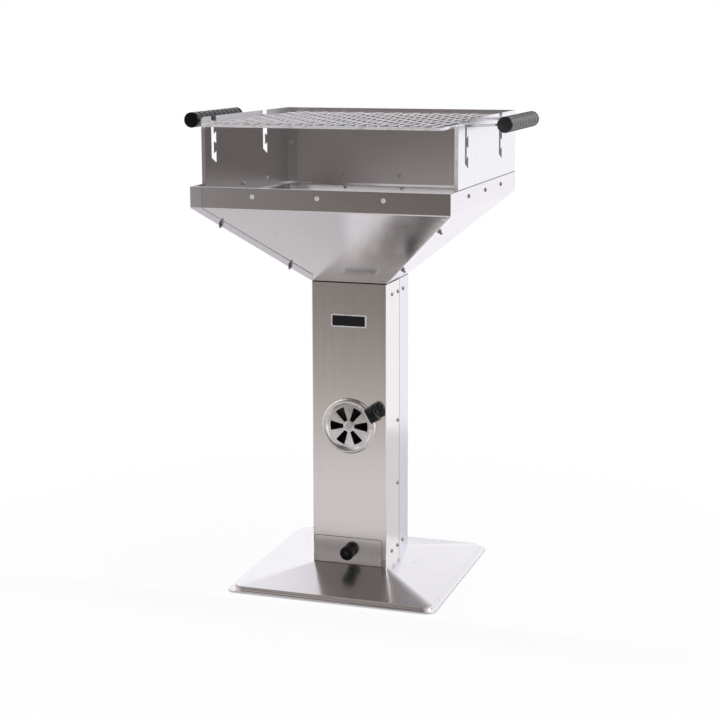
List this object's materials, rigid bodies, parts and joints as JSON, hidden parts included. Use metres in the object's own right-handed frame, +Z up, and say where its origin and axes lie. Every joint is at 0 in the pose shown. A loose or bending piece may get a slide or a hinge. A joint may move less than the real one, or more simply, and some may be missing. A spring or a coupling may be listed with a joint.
{
  "type": "pedestal charcoal barbecue",
  "caption": "Free-standing stainless charcoal barbecue: square column on a pressed base, funnel bowl, wind guard with height slots, lift-out grid, ash drawer and turning vent.",
  "frame": {"origin": "middle of the base plate's underside, on the floor, on the column's axis", "axes": "+Z up, the front with vent and ash drawer faces -Y, the right side faces +X"},
  "size_m": [0.694, 0.5456, 0.9849],
  "materials": {
    "sheet_steel": "brushed",
    "fastener_steel": "zinc bright",
    "wire_steel": "bright drawn",
    "black_grip": "satin black",
    "plate_black": "gloss black",
    "grate_steel": "heat stained"
  },
  "bodies": {
    "stand": {"base_plate": "sheet_steel", "base_collar": "sheet_steel", "column_front": "sheet_steel", "column_rear": "sheet_steel", "top_collar": "sheet_steel", "drawer_runners": "sheet_steel", "bowl_left": "sheet_steel", "bowl_right": "sheet_steel", "bowl_front": "sheet_steel", "bowl_rear": "sheet_steel", "guard_left": "sheet_steel", "guard_right": "sheet_steel", "guard_rear": "sheet_steel", "column_bolts": "fastener_steel", "column_nuts": "fastener_steel", "vent_rivet": "fastener_steel", "bowl_bolts": "fastener_steel", "bowl_nuts": "fastener_steel", "rim_bolts": "fastener_steel", "rim_nuts": "fastener_steel", "guard_bolts": "fastener_steel", "guard_nuts": "fastener_steel", "name_plate_frame": "fastener_steel", "name_plate_face": "plate_black"},
    "drawer": {"ash_drawer": "sheet_steel", "drawer_knob": "black_grip", "drawer_screw": "fastener_steel"},
    "dial": {"vent_dial": "sheet_steel", "vent_knob": "black_grip", "vent_screw": "fastener_steel"},
    "grid": {"grid_frame": "wire_steel", "grid_long_wires": "wire_steel", "grid_cross_wires": "wire_steel", "handle_wire_left": "wire_steel", "handle_wire_right": "wire_steel", "grip_left": "black_grip", "grip_right": "black_grip", "grip_caps": "black_grip"},
    "coal_grate": {"charcoal_grate": "grate_steel"}
  },
  "joints": [
    {"name": "grid_lift", "type": "slide", "parent": "stand", "child": "grid", "axis": [0, 0, 1], "range_m": [0, 0.12]},
    {"name": "drawer_slide", "type": "slide", "parent": "stand", "child": "drawer", "axis": [0, -1, 0], "range_m": [0, 0.13]},
    {"name": "vent_turn", "type": "hinge", "parent": "stand", "child": "dial", "pos_m": [0, -0.081, 0.338], "axis": [0, -1, 0], "range_deg": [-30, 30]},
    {"name": "grate_lift", "type": "slide", "parent": "stand", "child": "coal_grate", "axis": [0, 0, 1], "range_m": [0, 0.2]}
  ]
}
